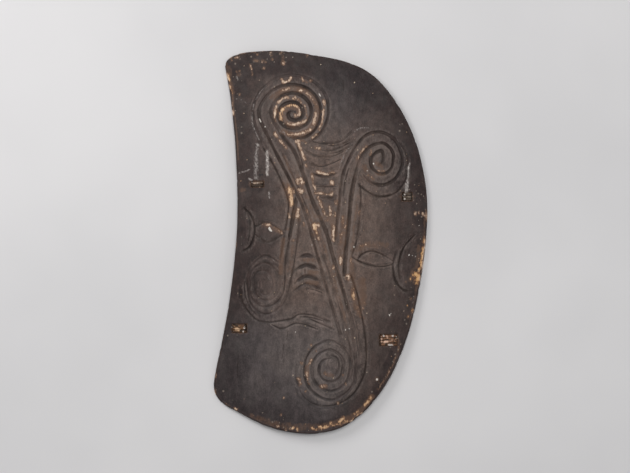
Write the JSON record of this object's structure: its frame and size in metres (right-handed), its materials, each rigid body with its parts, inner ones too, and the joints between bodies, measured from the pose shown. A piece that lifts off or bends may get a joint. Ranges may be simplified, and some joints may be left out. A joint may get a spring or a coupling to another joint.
{
  "type": "tribal war shield",
  "caption": "Carved wooden war shield: a kidney-shaped, slightly domed plank with scroll carving on its face, a hollow back and bindings of split cane laced through small holes.",
  "frame": {"origin": "Under the middle of the outline's box, on the surface the shield lies on, hollow side down.", "axes": "+X points to the bulging side, +Y to the top end and +Z out of the carved face."},
  "size_m": [0.56, 1.0004, 0.0477],
  "materials": {
    "sooted_wood": "matt soot and old paint over wood, worn to tan on the ridges and rims",
    "aged_cane": "split rattan, dry and brown with age"
  },
  "bodies": {
    "root": {"board": "sooted_wood", "lashing_upper_left": "aged_cane", "lashing_upper_right": "aged_cane", "lashing_lower_left": "aged_cane", "lashing_lower_right": "aged_cane"}
  },
  "joints": []
}
